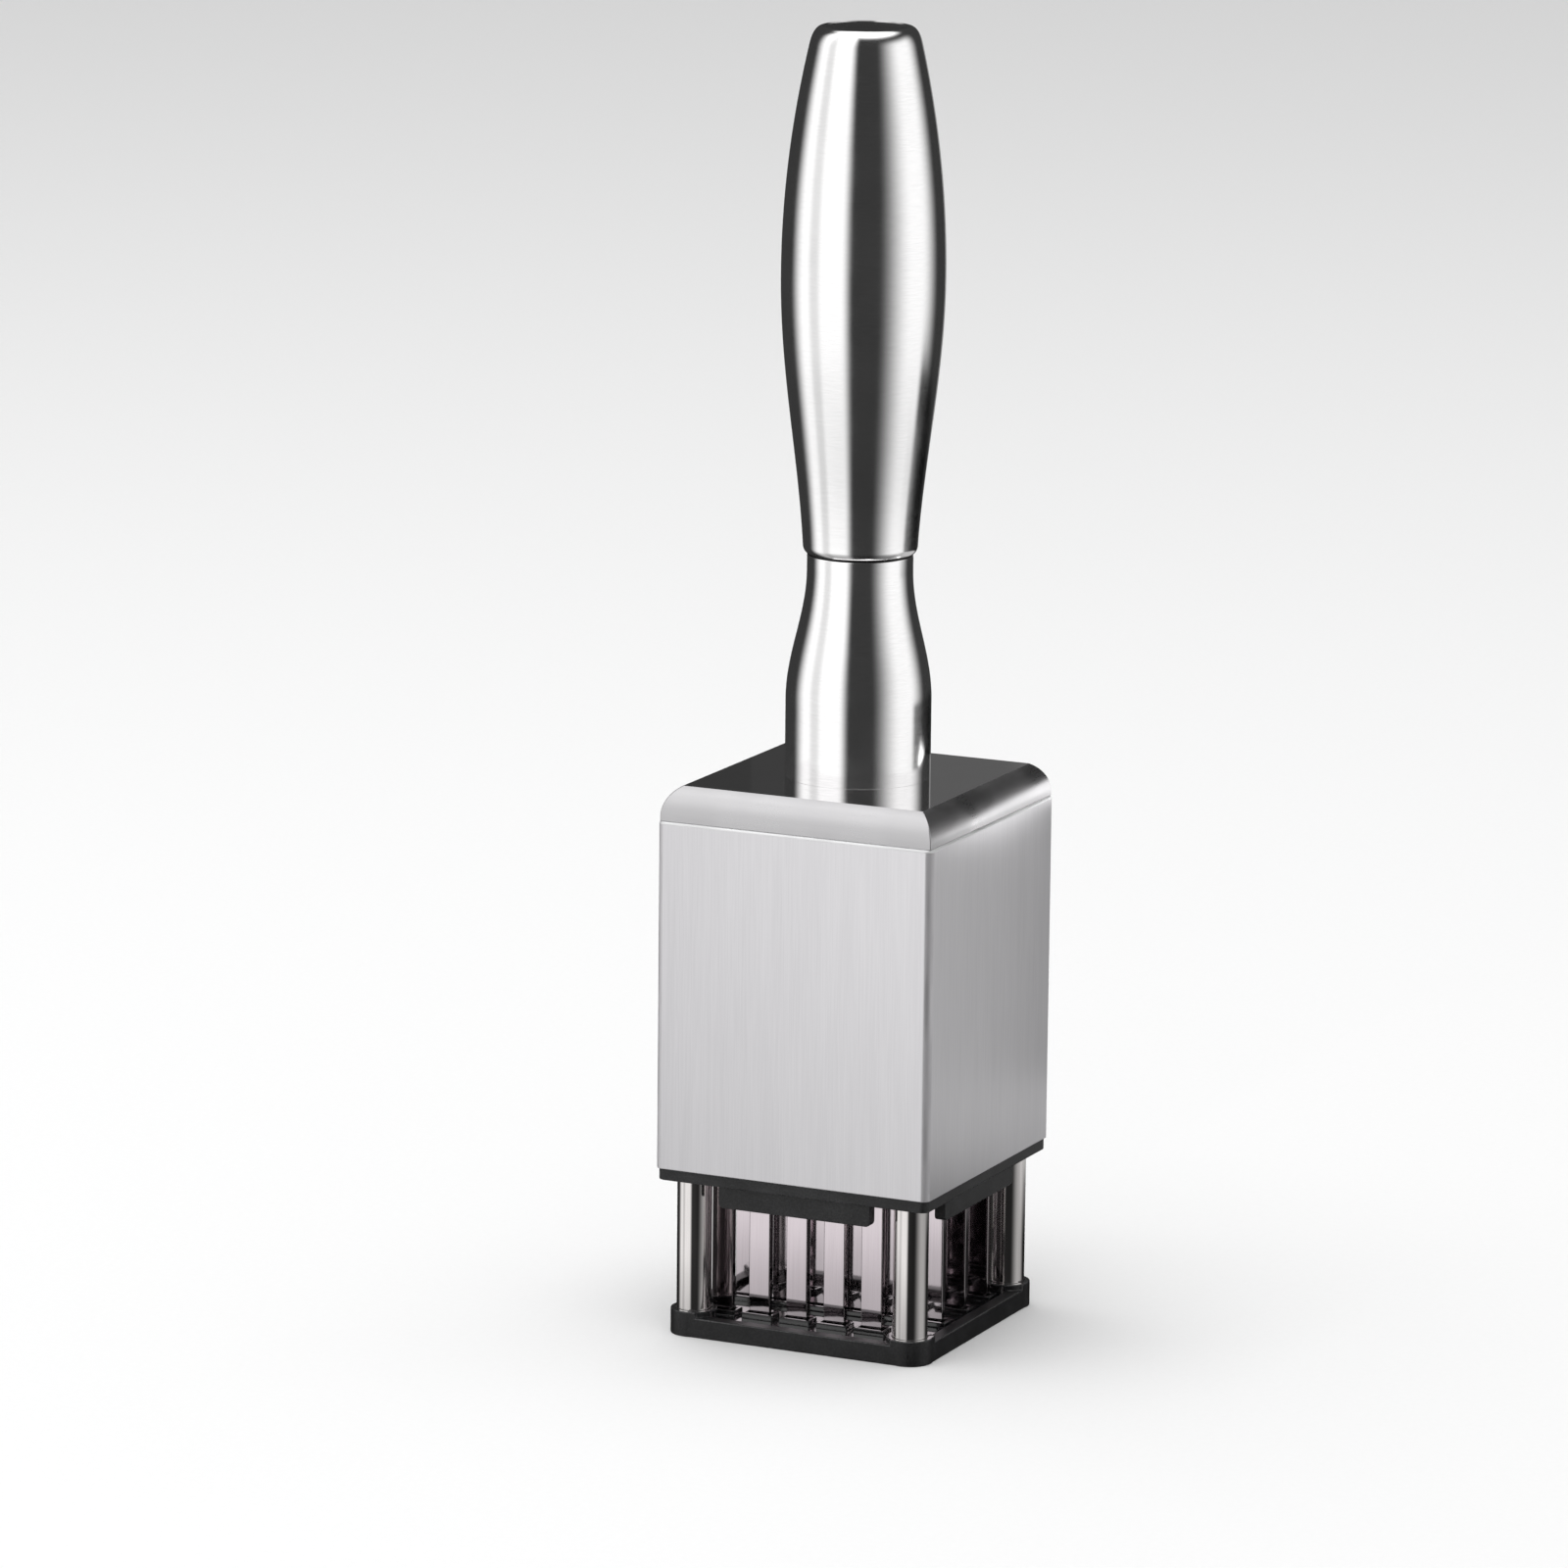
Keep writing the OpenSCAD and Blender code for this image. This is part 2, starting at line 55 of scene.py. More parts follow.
# Foot plate: the square black tray that the tool stands on, moulded in one piece with
# collars round the blade slots and a boss at each corner for a post. Its outside has a fine
# spark-eroded grain, its tray is polished by the mould, and its soft edges are rubbed and a
# little lighter, which is partly a painted highlight.


class Socket:
    """A shader value. Operators on it add Math nodes, and add() puts in any other node."""

    def __init__(self, tree, link=None):
        self.tree = tree
        self.link = link

    def add(self, kind, settings=None, values=None, out=0):
        node = self.tree.nodes.new(kind)
        for name, value in (settings or {}).items():
            setattr(node, name, value)
        for name, value in (values or {}).items():
            if isinstance(value, Socket):
                self.tree.links.new(value.link, node.inputs[name])
            else:
                node.inputs[name].default_value = value
        return Socket(self.tree, node.outputs[out] if node.outputs else None)

    def math(self, operation, *values):
        return self.add("ShaderNodeMath", {"operation": operation}, dict(enumerate(values)))

    def __add__(self, other):
        return self.math("ADD", self, other)

    def __radd__(self, other):
        return self.math("ADD", other, self)

    def __sub__(self, other):
        return self.math("SUBTRACT", self, other)

    def __rsub__(self, other):
        return self.math("SUBTRACT", other, self)

    def __mul__(self, other):
        return self.math("MULTIPLY", self, other)

    def __rmul__(self, other):
        return self.math("MULTIPLY", other, self)

    def larger(self, other):
        """The larger one of two values."""
        return self.math("MAXIMUM", self, other)

    def between(self, low, high, start=0.0, end=1.0):
        """A smooth step from start to end as this value goes from low to high."""
        values = {"Value": self, "From Min": low, "From Max": high, "To Min": start, "To Max": end}
        return self.add("ShaderNodeMapRange", {"interpolation_type": "SMOOTHSTEP"}, values)

    def within(self, low, full, fading, gone):
        """A smooth rise to 1 as this value goes from low to full, and a fall to 0 further on."""
        return self.between(low, full) * self.between(fading, gone, 1, 0)

    def place(self, axis):
        """How far a point lies along X, Y or Z, in metres."""
        point = self.add("ShaderNodeTexCoord", out="Object")
        return self.add("ShaderNodeSeparateXYZ", values={0: point}, out=axis)

    def grain(self, size, stretch=(1, 1, 1), detail=2.0):
        """Noise from 0 to 1 whose grains are size metres across and stretched along the axes."""
        point = self.add("ShaderNodeTexCoord", out="Object")
        point = self.add("ShaderNodeMapping", values={"Vector": point, "Scale": [1 / s for s in stretch]})
        return self.add("ShaderNodeTexNoise", values={"Vector": point, "Scale": 1 / size, "Detail": detail})


def material(name, base, roughness, metallic=0.0, **fixed):
    """A new material, a Socket on its tree and its shader's inputs, with the fixed values set."""
    made = bpy.data.materials.new(name)
    made.use_nodes = True
    inputs = made.node_tree.nodes["Principled BSDF"].inputs
    inputs["Base Color"].default_value = (*base, 1)
    inputs["Roughness"].default_value = roughness
    inputs["Metallic"].default_value = metallic
    for label, value in fixed.items():
        inputs[label.replace("_", " ")].default_value = value
    return made, Socket(made.node_tree), inputs


def shade(low, high, factor):
    """A colour that goes from low to high with the factor."""
    values = {0: factor, 6: (*low, 1), 7: (*high, 1)}
    return factor.add("ShaderNodeMix", {"data_type": "RGBA"}, values, out=2)


def finish_with(use, inputs, colour, roughness, height, depth):
    """Links what varies over a surface: its colour, its roughness and a relief of some depth."""
    use.tree.links.new(colour.link, inputs["Base Color"])
    use.tree.links.new(roughness.link, inputs["Roughness"])
    relief = use.add("ShaderNodeBump", values={"Height": height, "Distance": depth, "Strength": 1.0})
    use.tree.links.new(relief.link, inputs["Normal"])


def moulded_black(name, low, high, rough, grain_depth):
    """Black plastic with a cloudy tone, fine speckles and a spark-eroded grain."""
    made, use, inputs = material(name, low, rough, Specular_IOR_Level=0.4)
    cloud = use.grain(5 * MM, detail=3)
    speck = use.grain(0.3 * MM, detail=3)
    scuff = use.grain(1.6 * MM, stretch=(3, 3, 0.4), detail=4).between(0.62, 0.74)
    colour = shade(low, high, (cloud * 0.4 + speck * 0.6).between(0.35, 0.72) + scuff * 0.5)
    finish_with(use, inputs, colour, rough * (0.75 + cloud * 0.3 + speck * 0.3), speck, grain_depth)
    return made


def dress(piece, *paints):
    """Gives a piece its materials, and smooth faces that stay flat where the piece is flat."""
    sharp_from = math.radians(32)
    piece.data.materials.clear()
    for paint in paints:
        piece.data.materials.append(paint)
    for face in piece.data.polygons:
        face.use_smooth = True
    piece.data.set_sharp_from_angle(angle=sharp_from)
    flat = piece.modifiers.new("flat faces", "WEIGHTED_NORMAL")
    flat.keep_sharp = True
    flat.weight = 100


def paint_where(piece, paint, chosen):
    """Adds a material to a piece, for the faces that pass a test."""
    piece.data.materials.append(paint)
    for face in piece.data.polygons:
        if chosen(face):
            face.material_index = len(piece.data.materials) - 1


def seat(piece, node):
    """Puts a piece on the body of the CAD node that it stands for."""
    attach(piece, "foot" if node in frame["record"]["behaviour"]["bodies"]["foot"] else "head")
    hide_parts(node)


next_to_nothing = 0.001 * MM


def softened(node, edge, paint, edge_paint=None):
    """A copy of a CAD solid with its sharp edges rounded, which stands for that solid."""
    flat_within = math.radians(1)
    sharp_from = math.radians(40)
    piece = bpy.data.objects.new(node + "_shell", frame["nodes"][node].data.copy())
    bpy.context.scene.collection.objects.link(piece)
    mesh = bmesh.new()
    mesh.from_mesh(piece.data)
    bmesh.ops.remove_doubles(mesh, verts=mesh.verts, dist=next_to_nothing)
    bmesh.ops.dissolve_limit(mesh, angle_limit=flat_within, verts=mesh.verts, edges=mesh.edges)
    for face in mesh.faces:
        face.material_index = 0
    mesh.to_mesh(piece.data)
    mesh.free()
    rounding = piece.modifiers.new("rounded edges", "BEVEL")
    rounding.width = edge
    rounding.segments = 2
    rounding.limit_method = "ANGLE"
    rounding.angle_limit = sharp_from
    rounding.use_clamp_overlap = False
    if edge_paint:
        rounding.material = 1
        dress(piece, paint, edge_paint)
    else:
        dress(piece, paint)
    seat(piece, node)
    return piece


foot_edge = 0.18 * MM
foot_rim = 2.5 * MM
tray_floor = 1.0 * MM
tray_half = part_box("foot_plate")[1].x - foot_rim


def in_tray(face):
    """Whether a face of the foot plate lies inside its rim and above its underside."""
    return face.center.z > tray_floor and max(abs(face.center.x), abs(face.center.y)) < tray_half


foot_black = moulded_black("foot moulding", low=(0.006, 0.006, 0.0065), high=(0.02, 0.02, 0.021),
                           rough=0.42, grain_depth=0.02 * MM)
# The rounded edges' black is lighter: partly rubbed wear, partly a painted highlight.
rubbed_highlit_black = moulded_black("rubbed edge with painted highlight", low=(0.012, 0.012, 0.0125), high=(0.05, 0.05, 0.052),
                             rough=0.26, grain_depth=0.01 * MM)
tray_black, tray, tray_inputs = material("tray moulding", base=(0.008, 0.008, 0.0085), roughness=0.1,
                                         Specular_IOR_Level=1.0, Coat_Weight=1.0, Coat_Roughness=0.04)
ripple = tray.grain(3 * MM, detail=2)
tray_speck = tray.grain(0.4 * MM, detail=2)
tray_tone = shade((0.006, 0.006, 0.0065), (0.016, 0.016, 0.017), tray_speck.between(0.4, 0.75))
finish_with(tray, tray_inputs, tray_tone, roughness=0.06 + ripple * 0.1,
            height=ripple * 0.8 + tray_speck * 0.2, depth=0.02 * MM)
foot = softened("foot_plate", foot_edge, foot_black, rubbed_highlit_black)
paint_where(foot, tray_black, in_tray)

# Post screws: four countersunk screws of plain turned steel. They come up through the foot
# into the posts and hold them down on it.

screw_edge = 0.1 * MM
turned_low = (0.44, 0.44, 0.45)
turned_high = (0.6, 0.6, 0.61)
turned_steel, lathe, lathe_inputs = material("plain turned steel", base=turned_high, roughness=0.3,
                                             metallic=1.0)
tool_marks = lathe.grain(0.15 * MM, stretch=(9, 9, 1), detail=3)
stain = lathe.grain(4 * MM, detail=3)
finish_with(lathe, lathe_inputs, shade(turned_low, turned_high, stain.between(0.35, 0.65)),
            roughness=0.22 + tool_marks * 0.12 + stain * 0.1, height=tool_marks, depth=0.006 * MM)
softened("post_screws", screw_edge, turned_steel)

# Posts: four polished steel tubes pressed in the foot's bosses. The head slides down them,
# and the guide rods run inside.


def polished_steel(name, tone, roughness, line, stretch, depth, contrast=0.08, **fixed):
    """Steel with fine polishing lines along one direction and faint cloudy smudges."""
    made, use, inputs = material(name, tone, roughness, 1.0, **fixed)
    lines = use.grain(line, stretch, detail=4)
    cloud = use.grain(11 * MM, detail=4)
    worn = tuple(c * (1 - contrast) for c in tone)
    colour = shade(worn, tone, (lines * 0.55 + cloud * 0.45).between(0.3, 0.68))
    smudged = roughness * (0.75 + lines * 0.3 + cloud.between(0.35, 0.7) * 0.3)
    finish_with(use, inputs, colour, smudged, lines, depth)
    return made


def ring_of(mesh, radius, height, around, at):
    """One ring of points, or a single point where the radius is nothing."""
    if radius < next_to_nothing:
        return [mesh.verts.new((at[0], at[1], height))]
    ring = []
    for i in range(around):
        turn = 2 * math.pi * i / around
        x, y = at[0] + radius * math.cos(turn), at[1] + radius * math.sin(turn)
        ring.append(mesh.verts.new((x, y, height)))
    return ring


def skinned(name, rings, mesh, paint):
    """Faces between each ring of points and the next, made into a piece."""
    around = max(len(ring) for ring in rings)
    for low, high in zip(rings, rings[1:]):
        for i in range(around):
            corners = [ring[k % len(ring)] for ring, k in ((low, i), (low, i + 1), (high, i + 1), (high, i))]
            mesh.faces.new(list(dict.fromkeys(corners)))
    bmesh.ops.recalc_face_normals(mesh, faces=mesh.faces)
    piece = bpy.data.objects.new(name, bpy.data.meshes.new(name))
    mesh.to_mesh(piece.data)
    mesh.free()
    bpy.context.scene.collection.objects.link(piece)
    dress(piece, paint)
    return piece


def turned(name, outline, paint, at=(0, 0), around=128, closed=True):
    """A round piece turned from an outline of (radius, height) points."""
    mesh = bmesh.new()
    rings = [ring_of(mesh, radius, height, around, at) for radius, height in outline]
    return skinned(name, rings + rings[:1] if closed else rings, mesh, paint)


quarter_turn = [math.radians(15 * i) for i in range(7)]


def tube_outline(outer, inner, low, high, edge):
    """The outline of a tube whose outer edges are round."""
    top = [(outer - edge + edge * math.cos(a), high - edge + edge * math.sin(a)) for a in quarter_turn]
    bottom = [(r, low + high - z) for r, z in reversed(top)]
    return [(inner, low)] + bottom + top + [(inner, high)]


def round_box(node):
    """An upright round solid's radius, its middle, and the heights of its foot and its top."""
    low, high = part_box(node)
    return (high.x - low.x) / 2, (low + high) / 2, low.z, high.z


CORNERS = ("front_left", "front_right", "back_right", "back_left")
running_fit = 0.05 * MM
post_edge = 0.25 * MM
post_steel = polished_steel("polished post steel", tone=(0.89, 0.855, 0.84), roughness=0.08,
                            line=0.2 * MM, stretch=(1, 1, 30), depth=0.0005 * MM)
for corner in CORNERS:
    radius, middle, foot_z, top_z = round_box("post_" + corner)
    bore = round_box("guide_rod_" + corner)[0] + running_fit
    outline = tube_outline(radius, bore, foot_z, top_z, post_edge)
    post = turned("post_tube_" + corner, outline, post_steel, at=middle)
    seat(post, "post_" + corner)

# Stop rings: plain turned rings pressed on the posts' upper ends. They lie on the guide
# plate and stop the head at the top of its travel.

ring_edge = 0.2 * MM
for corner in CORNERS:
    radius, middle, foot_z, top_z = round_box("stop_collar_" + corner)
    outline = tube_outline(radius, round_box("post_" + corner)[0], foot_z, top_z, ring_edge)
    stop_ring = turned("stop_ring_" + corner, outline, turned_steel, at=middle)
    seat(stop_ring, "stop_collar_" + corner)

# Springs: four coils of drawn wire over the guide rods, between the posts' ends and the
# blade holder, with a closed curl at each end. They push the head up again after a press,
# and flatten on the posts as it comes down.

spring_wire = 0.5 * MM
spring_curls = 12
open_curls = spring_curls - 2
closed_pitch = 1.0 * MM
rings_per_curl = 24
wire_sides = 10


def coil_line(turns, radius, rise):
    """A point on a spring's centre line, that many turns from its lower end."""
    open_pitch = (rise - 2 * closed_pitch) / open_curls
    height = closed_pitch * (min(turns, 1) + max(turns - open_curls - 1, 0))
    height += open_pitch * min(max(turns - 1, 0), open_curls)
    angle = 2 * math.pi * turns
    return Vector((radius * math.cos(angle), radius * math.sin(angle), height))


def wound(name, base, radius, rise, paint):
    """A spring of round wire that stands on base."""
    nudge = 0.01
    round_wire = [2 * math.pi * k / wire_sides for k in range(wire_sides)]
    mesh = bmesh.new()
    rings = []
    for i in range(spring_curls * rings_per_curl + 1):
        turns = i / rings_per_curl
        middle = coil_line(turns, radius, rise)
        along = coil_line(turns + nudge, radius, rise) - coil_line(turns - nudge, radius, rise)
        out = Vector((middle.x, middle.y, 0)).normalized()
        side = along.cross(out).normalized()
        spokes = [out * math.cos(a) + side * math.sin(a) for a in round_wire]
        rings.append([mesh.verts.new(base + middle + spoke * spring_wire / 2) for spoke in spokes])
    mesh.faces.new(rings[0])
    mesh.faces.new(rings[-1])
    return skinned(name, rings, mesh, paint)


wire_steel = polished_steel("drawn spring wire", tone=(0.52, 0.52, 0.53), roughness=0.24,
                            line=0.25 * MM, stretch=(1, 1, 1), depth=0.003 * MM)
for corner in CORNERS:
    low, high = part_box("spring_" + corner)
    foot_of_coil = Vector(((low.x + high.x) / 2, (low.y + high.y) / 2, low.z))
    coil = wound("spring_coil_" + corner, foot_of_coil + Vector((0, 0, spring_wire / 2)),
                 (high.x - low.x - spring_wire) / 2, high.z - low.z - spring_wire, wire_steel)
    seat(coil, "spring_" + corner)
    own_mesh(coil)

# Guide rods: four ground steel rods fixed in the blade holder. They slide inside the posts
# and keep the springs straight.

rod_edge = 0.3 * MM
rod_sides = 64
rod_steel = polished_steel("ground rod steel", tone=(0.6, 0.6, 0.61), roughness=0.16,
                           line=0.12 * MM, stretch=(9, 9, 1), depth=0.002 * MM)
for corner in CORNERS:
    radius, middle, foot_z, top_z = round_box("guide_rod_" + corner)
    outline = [(0, foot_z), (radius - rod_edge, foot_z), (radius, foot_z + rod_edge),
               (radius, top_z - rod_edge), (radius - rod_edge, top_z), (0, top_z)]
    rod = turned("rod_" + corner, outline, rod_steel, at=middle, around=rod_sides, closed=False)
    seat(rod, "guide_rod_" + corner)

# Cartridge frame: a black moulding whose flange closes the casing from below and whose four
# tabs hang over the window. Its plate guides the posts, and its walls carry the holder.

frame_edge = 0.16 * MM
frame_black = moulded_black("frame moulding", low=(0.009, 0.009, 0.0095), high=(0.03, 0.03, 0.031),
                            rough=0.48, grain_depth=0.03 * MM)
# Its rounded edges take the lighter rubbed black, which is partly a painted highlight.
softened("cartridge_frame", frame_edge, frame_black, rubbed_highlit_black)

# Blade holder: a dark grey moulded plate that all the blades hang in by their heads. Screws
# hold it and the clamp plate on the frame's columns.

holder_edge = 0.12 * MM
holder_grey = moulded_black("holder moulding", low=(0.02, 0.02, 0.022), high=(0.05, 0.05, 0.053),
                            rough=0.5, grain_depth=0.03 * MM)
softened("blade_holder", holder_edge, holder_grey)

# Blades: flat strips of polished steel, each hanging by a T-shaped head from the holder and
# ground to a slanted tip. Their long edges are eased a little, as a stamped strip's are.

blade_rows = 4
blades_in_row = 6
blade_edge = 0.14 * MM
blade_steel = polished_steel("polished blade steel", tone=(0.76, 0.685, 0.72), roughness=0.06,
                             line=0.25 * MM, stretch=(1, 1, 40), depth=0.0004 * MM)
ground_steel = polished_steel("ground blade edge", tone=(0.62, 0.58, 0.59), roughness=0.2,
                              line=0.12 * MM, stretch=(1, 1, 12), depth=0.002 * MM)
for row in range(1, blade_rows + 1):
    for col in range(1, blades_in_row + 1):
        softened(f"blade_{row}_{col}", blade_edge, blade_steel, ground_steel)

# Clamp plate and its four screws: a moulded grey plate that traps the blades' heads in the
# holder, and plain turned screws that go through both plates into the frame's columns.

softened("clamp_plate", holder_edge, holder_grey)
softened("clamp_screws", screw_edge, turned_steel)

# Lock nut and handle stud: the nut sits in the clamp plate's hub, and the stud runs from it
# through the cap into the neck and pulls everything together.

stud_edge = 0.2 * MM
softened("lock_nut", stud_edge, turned_steel)
softened("handle_stud", stud_edge, turned_steel)

# Casing: a square sleeve folded and welded from sheet steel, and brushed upright. Its colour
# is a little lighter towards the front right corner, a painted light. It is trapped between
# the frame's flange and the cap, and its sheared upper edge shows as a bright line.


def square_ring(mesh, half, radius, height, steps=8):
    """A ring of points on a square outline with round corners."""
    ring = []
    for quarter in range(4):
        for i in range(steps + 1):
            turn = math.pi / 2 * (quarter + i / steps)
            x = (half - radius) * (1 if quarter in (0, 3) else -1) + radius * math.cos(turn)
            y = (half - radius) * (1 if quarter in (0, 1) else -1) + radius * math.sin(turn)
            ring.append(mesh.verts.new((x, y, height)))
    return ring


def stacked(name, layers, paint):
    """A square hollow piece skinned over layers of (half width, corner radius, height)."""
    mesh = bmesh.new()
    rings = [square_ring(mesh, *layer) for layer in layers]
    return skinned(name, rings + rings[:1], mesh, paint)


casing_low, casing_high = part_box("casing")
casing_half = casing_high.x
casing_corner = 1.4 * MM
sheet = 0.8 * MM
lower_round = 0.15 * MM
upper_round = 0.48 * MM
casing_layers = [(casing_half - sheet, casing_corner - sheet, casing_low.z)]
casing_layers += [(casing_half - lower_round + lower_round * math.sin(a),
                   casing_corner - lower_round + lower_round * math.sin(a),
                   casing_low.z + lower_round - lower_round * math.cos(a)) for a in quarter_turn]
casing_layers += [(casing_half - upper_round + upper_round * math.cos(a),
                   casing_corner - upper_round + upper_round * math.cos(a),
                   casing_high.z - upper_round + upper_round * math.sin(a)) for a in quarter_turn]
casing_layers += [(casing_half - sheet, casing_corner - sheet, casing_high.z)]


def on_sheared_edge(face):
    """Whether a face of the casing lies on its rounded upper edge."""
    return face.center.z > casing_high.z - upper_round


def on_corner(face):
    """Whether a face of the casing lies on a rounded corner, below the upper edge."""
    flat_side = 0.995
    return not on_sheared_edge(face) and max(abs(part) for part in face.normal) < flat_side


brushed_steel, brushed, brushed_inputs = material("brushed casing steel", base=(0.68, 0.67, 0.685),
                                                  roughness=0.32, metallic=1.0, Anisotropic=0.3)
strokes = brushed.grain(0.2 * MM, stretch=(1, 1, 50), detail=4)
sweeps = brushed.grain(2.5 * MM, stretch=(1, 1, 12), detail=3)
patches = brushed.grain(14 * MM, stretch=(1, 1, 2), detail=3)
# Painted light: the colour is lighter towards the front right corner.
painted_light_to_corner = (brushed.place("X") - brushed.place("Y")).between(-45 * MM, 55 * MM)
brushed_and_lit_tone = shade((0.555, 0.547, 0.562), (0.745, 0.735, 0.751),
                     painted_light_to_corner * 0.62 + strokes.between(0.3, 0.7) * 0.2
                     + sweeps.between(0.3, 0.7) * 0.1 + patches.between(0.35, 0.7) * 0.08)
finish_with(brushed, brushed_inputs, brushed_and_lit_tone, roughness=0.28 + strokes * 0.06 + patches * 0.04,
            height=strokes, depth=0.006 * MM)
sheared_steel = polished_steel("sheared sheet edge", tone=(0.86, 0.86, 0.865), roughness=0.6,
                               line=0.1 * MM, stretch=(1, 1, 1), depth=0.004 * MM)
corner_steel = polished_steel("rubbed corner steel", tone=(0.76, 0.75, 0.765), roughness=0.65,
                              line=0.2 * MM, stretch=(1, 1, 50), depth=0.004 * MM)
sleeve = stacked("casing_sleeve", casing_layers, brushed_steel)
paint_where(sleeve, sheared_steel, on_sheared_edge)
paint_where(sleeve, corner_steel, on_corner)
seat(sleeve, "casing")

# Cap: pressed from sheet, with rounded satin shoulders that meet in mitred corners, a crisp
# edge, a flat top polished like a mirror, and a skirt inside the casing. The stud goes
# through the hole in its middle.

cap_low, cap_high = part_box("top_cap")
cap_half = cap_high.x
seam = casing_high.z
cap_corner = 0.2 * MM
cap_round = 0.06 * MM
cap_sheet = 1.0 * MM
flat_half = 22.2 * MM
shoulder_high = 5.0 * MM
shoulder_deep = cap_half - flat_half
shoulder_angle = 2 * math.atan(shoulder_deep / shoulder_high)
shoulder_radius = shoulder_high / math.sin(shoulder_angle)
shoulder_steps = 16
skirt_fit = 0.05 * MM
skirt_half = casing_half - sheet - skirt_fit
skirt_corner = 0.6 * MM
stud_hole = 3.05 * MM
shoulder_turn = [shoulder_angle * i / shoulder_steps for i in range(shoulder_steps + 1)]
shoulder_line = [(cap_half - shoulder_radius * (1 - math.cos(a)),
                  cap_high.z - shoulder_high + shoulder_radius * math.sin(a)) for a in shoulder_turn]
cap_layers = [(skirt_half, skirt_corner, cap_low.z), (skirt_half, skirt_corner, seam),
              (cap_half - cap_round, cap_corner, seam), (cap_half, cap_corner, seam + cap_round)]
cap_layers += [(half, cap_corner, height) for half, height in shoulder_line]
cap_layers += [(stud_hole, stud_hole, cap_high.z), (stud_hole, stud_hole, cap_high.z - cap_sheet)]
cap_layers += [(half - cap_sheet - (cap_half - skirt_half), cap_corner, height - cap_sheet)
               for half, height in reversed(shoulder_line)]
cap_layers += [(skirt_half - cap_sheet, cap_corner, cap_low.z)]


def on_flat_top(face):
    """Whether a face of the cap looks straight up."""
    level = 0.99
    return face.normal.z > level


satin_steel = polished_steel("satin shoulder steel", tone=(0.49, 0.484, 0.492), roughness=0.3,
                             line=0.2 * MM, stretch=(12, 12, 1), depth=0.001 * MM, contrast=0.05)
mirror_steel = polished_steel("mirror top steel", tone=(0.9, 0.89, 0.895), roughness=0.05,
                              line=0.3 * MM, stretch=(12, 1, 1), depth=0.0002 * MM, contrast=0.04)
mitre_sharp_from = math.radians(22)
cap = stacked("cap_shell", cap_layers, satin_steel)
cap.data.set_sharp_from_angle(angle=mitre_sharp_from)
paint_where(cap, mirror_steel, on_flat_top)
seat(cap, "top_cap")

# Neck: the hollow lower piece of the handle, spun from tube, with a straight foot, a waist
# and a spigot for the grip. A tapped plug in its foot takes the stud.


def ease(u):
    """A smooth step from 0 to 1."""
    return (1 - math.cos(math.pi * u)) / 2


handle_wall = 0.8 * MM
handle_sides = 192
neck_low, neck_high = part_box("handle_neck")
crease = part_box("handle_grip")[0].z
neck_height = crease - neck_low.z
neck_base = neck_high.x
waist = 9.0 * MM
waist_share = 0.925
neck_foot = 13.1 * MM
flare = neck_height * waist_share - neck_foot
flare_steps = 60
foot_round = 0.03 * MM
crease_round = 0.5 * MM
spigot = waist - handle_wall - running_fit
flare_line = [(neck_base - (neck_base - waist) * ease(i / flare_steps),
               neck_low.z + neck_foot + flare * i / flare_steps) for i in range(flare_steps + 1)]
neck_outline = [(neck_base - handle_wall, neck_low.z), (neck_base - foot_round, neck_low.z),
                (neck_base, neck_low.z + foot_round)] + flare_line
neck_outline += [(waist - crease_round + crease_round * math.cos(a),
                  crease - crease_round + crease_round * math.sin(a)) for a in quarter_turn]
neck_outline += [(spigot, crease), (spigot, neck_high.z), (spigot - handle_wall, neck_high.z),
                 (spigot - handle_wall, crease - handle_wall), (waist - handle_wall, crease - handle_wall)]
neck_outline += [(r - handle_wall, z) for r, z in reversed(flare_line)]
groove_low = crease - 0.22 * MM
groove_high = crease + 0.26 * MM


def in_crease(face):
    """Whether a face of the handle lies in the crease between its two pieces."""
    return groove_low < face.center.z < groove_high


handle_steel = polished_steel("polished handle steel", tone=(0.9, 0.895, 0.895), roughness=0.14,
                              line=0.16 * MM, stretch=(14, 14, 1), depth=0.001 * MM,
                              Anisotropic=0.5, Anisotropic_Rotation=0.25)
# The crease's faces get a dark, dull steel: a painted shade in the crease.
crease_shade_steel = polished_steel("painted shade in the crease", tone=(0.1, 0.098, 0.1), roughness=0.45,
                              line=0.16 * MM, stretch=(14, 14, 1), depth=0.002 * MM)
neck_shell = turned("neck_shell", neck_outline, handle_steel, around=handle_sides)
paint_where(neck_shell, crease_shade_steel, in_crease)
seat(neck_shell, "handle_neck")
softened("neck_plug", stud_edge, turned_steel)

# Grip: the hollow upper piece of the handle, spun to a bottle shape. Its lower edge is rolled
# in over the neck's spigot, which shows as a crease, and its upper edge round the end disc.

grip_low, grip_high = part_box("handle_grip")
disc_low, disc_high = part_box("end_disc")
disc_radius = disc_high.x
grip_height = grip_high.z - grip_low.z
belly = grip_high.x
belly_share = 0.531
belly_height = grip_height * belly_share
grip_foot = 9.75 * MM
grip_head = 9.45 * MM

# the lower edge curls in to the mouth, in a quarter of an ellipse
lip = 1.5 * MM
mouth = waist - 0.15 * MM
curl_steps = 12
curl_line = []
for i in range(curl_steps + 1):
    turn = math.pi / 2 * i / curl_steps
    curl_line.append((mouth + (grip_foot - mouth) * math.sin(turn), crease + lip * (1 - math.cos(turn))))

# from there the grip swells to its belly
swell_share = 1.196
swell = (belly_height - lip) * swell_share
swell_drop = (belly - grip_foot) / ease(1 / swell_share)
swell_steps = 60
swell_line = []
for i in range(1, swell_steps + 1):
    height = lip + (belly_height - lip) * i / swell_steps
    swell_line.append((belly - swell_drop * ease((belly_height - height) / swell), crease + height))

